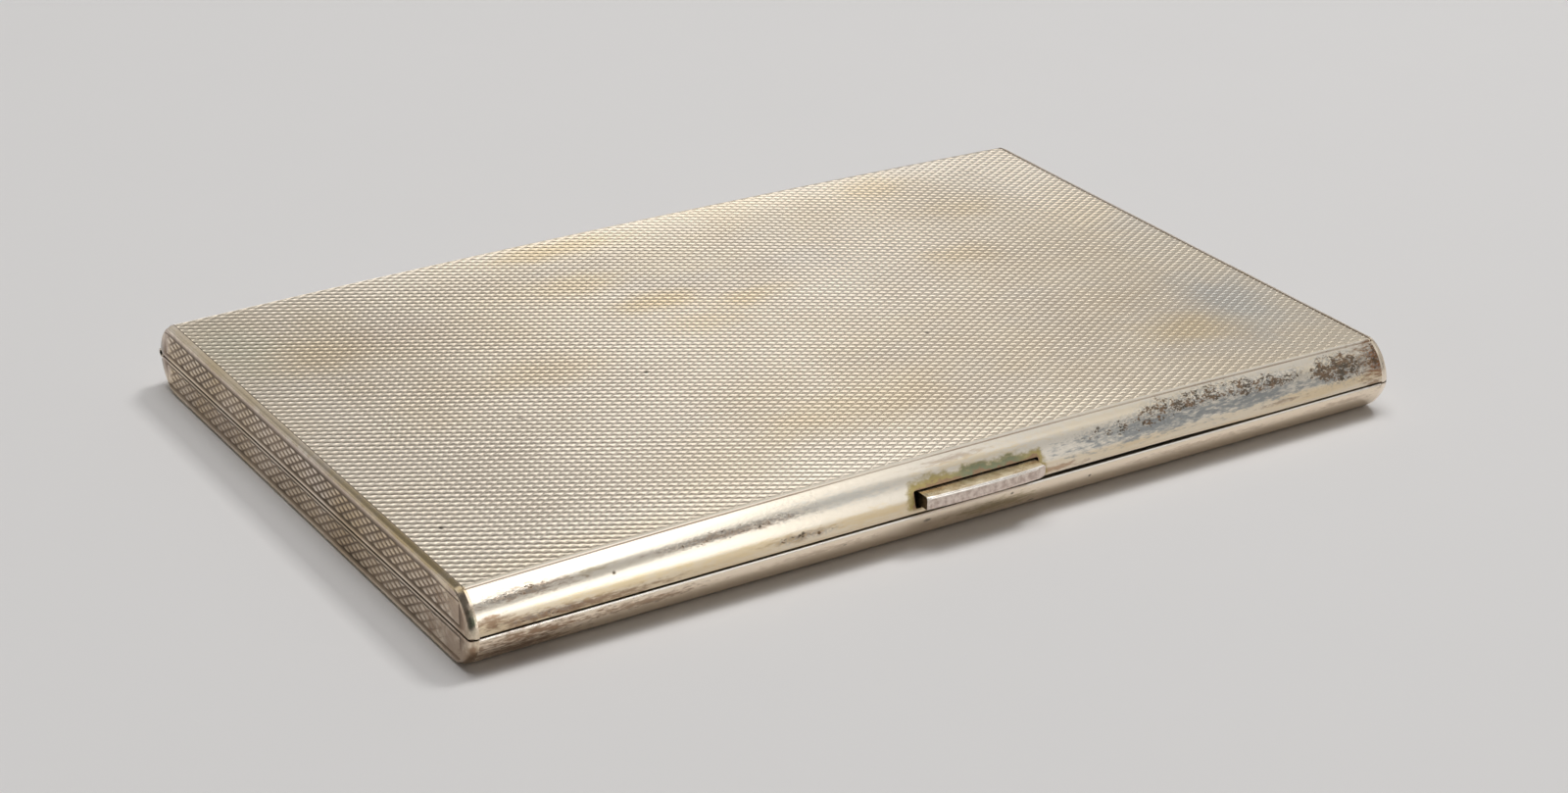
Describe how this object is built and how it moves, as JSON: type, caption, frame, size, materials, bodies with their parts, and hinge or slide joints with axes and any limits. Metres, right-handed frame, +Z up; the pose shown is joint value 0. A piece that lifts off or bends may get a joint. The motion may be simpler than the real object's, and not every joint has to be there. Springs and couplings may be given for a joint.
{
  "type": "cigarette case",
  "caption": "Slim rectangular metal cigarette case with rounded long edges, engine-turned faces, a hinged crowned lid and a sprung push catch in the front.",
  "frame": {"origin": "middle of the base's flat underside", "axes": "+X along the length to the right as seen from the front, +Y from the catch at the front to the hinge at the back, +Z up"},
  "size_m": [0.127, 0.0852, 0.0099],
  "materials": {
    "engine_turned_silver": "silver plate over brass, engine-turned faces and polished rounded edges, yellowed and worn",
    "end_silver": "silver plate over brass, engine-turned in waves, darkened",
    "gilt": "gilt, satin",
    "hinge_silver": "silver plate over brass tube, worn",
    "pin_steel": "drawn wire",
    "elastic": "woven elastic band",
    "spring_brass": "rolled spring brass",
    "thumbpiece_silver": "silver plate over brass, worn and stained"
  },
  "bodies": {
    "base": {"base_shell": "engine_turned_silver", "base_left_end": "end_silver", "base_right_end": "end_silver", "front_bezel": "gilt", "left_bezel": "gilt", "right_bezel": "gilt", "catch_keeper": "gilt", "base_hinge_bearer": "gilt", "base_knuckle_1": "hinge_silver", "base_knuckle_2": "hinge_silver", "base_knuckle_3": "hinge_silver", "base_knuckle_4": "hinge_silver", "base_knuckle_5": "hinge_silver", "hinge_pin": "pin_steel", "base_strap": "elastic", "base_strap_clip_left": "gilt", "base_strap_clip_right": "gilt"},
    "lid": {"lid_shell": "engine_turned_silver", "lid_left_end": "end_silver", "lid_right_end": "end_silver", "lid_hinge_bearer": "gilt", "lid_knuckle_1": "hinge_silver", "lid_knuckle_2": "hinge_silver", "lid_knuckle_3": "hinge_silver", "lid_knuckle_4": "hinge_silver", "catch_post_left": "gilt", "catch_post_right": "gilt", "catch_spring_left": "spring_brass", "catch_spring_right": "spring_brass", "catch_rivet_left": "spring_brass", "catch_rivet_right": "spring_brass", "lid_strap": "elastic", "lid_strap_clip_left": "gilt", "lid_strap_clip_right": "gilt"},
    "catch": {"thumbpiece": "thumbpiece_silver", "catch_hook": "spring_brass"}
  },
  "joints": [
    {"name": "lid_hinge", "type": "hinge", "parent": "base", "child": "lid", "pos_m": [0, 0.04145, 0.0044], "axis": [-1, 0, 0], "range_deg": [0, 170]},
    {"name": "catch_push", "type": "slide", "parent": "lid", "child": "catch", "axis": [0, 1, 0], "range_m": [0, 0.0009], "stiffness_N_per_m": 900, "springref_m": -0.0006, "deforming": ["catch_spring_left", "catch_spring_right"]}
  ]
}
